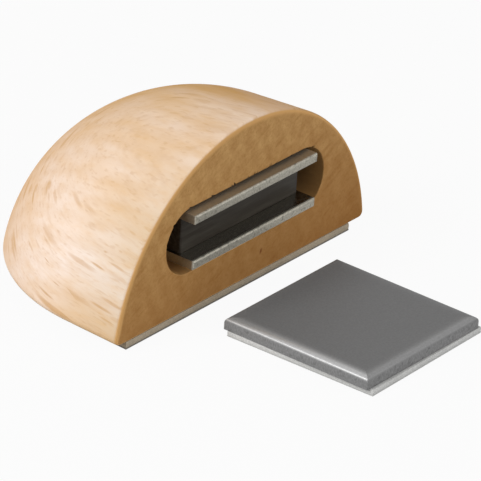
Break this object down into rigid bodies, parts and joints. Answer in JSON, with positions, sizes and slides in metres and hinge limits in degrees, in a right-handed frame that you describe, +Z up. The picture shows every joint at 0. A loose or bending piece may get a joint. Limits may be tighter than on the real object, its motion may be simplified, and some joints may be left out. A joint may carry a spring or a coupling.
{
  "type": "magnetic door stop",
  "caption": "Half-bullet wooden floor stop with a magnet between steel pole plates in its front slot, and a square steel strike plate for the door, each on an adhesive pad.",
  "frame": {"origin": "on the floor, on the body's centre line, at the middle of the floor pad's depth", "axes": "+Z up, the magnet and the strike plate lie towards -Y, +X to the right as seen from the front"},
  "size_m": [0.0662, 0.0812, 0.0313],
  "materials": {
    "beech": "fine sanded, lightly oiled",
    "ferrite": "bare sintered ferrite",
    "pole_steel": "zinc plated, sheared edges",
    "floor_foam": "foam tape edge",
    "floor_liner": "coated release paper",
    "strike_steel": "satin, rolled edges",
    "strike_foam": "foam tape edge",
    "strike_liner": "coated release paper"
  },
  "bodies": {
    "root": {"wooden_body": "beech", "bar_magnet": "ferrite", "upper_pole_plate": "pole_steel", "lower_pole_plate": "pole_steel", "floor_pad": "floor_foam", "floor_pad_liner": "floor_liner", "strike_plate": "strike_steel", "strike_pad": "strike_foam", "strike_pad_liner": "strike_liner"}
  },
  "joints": []
}
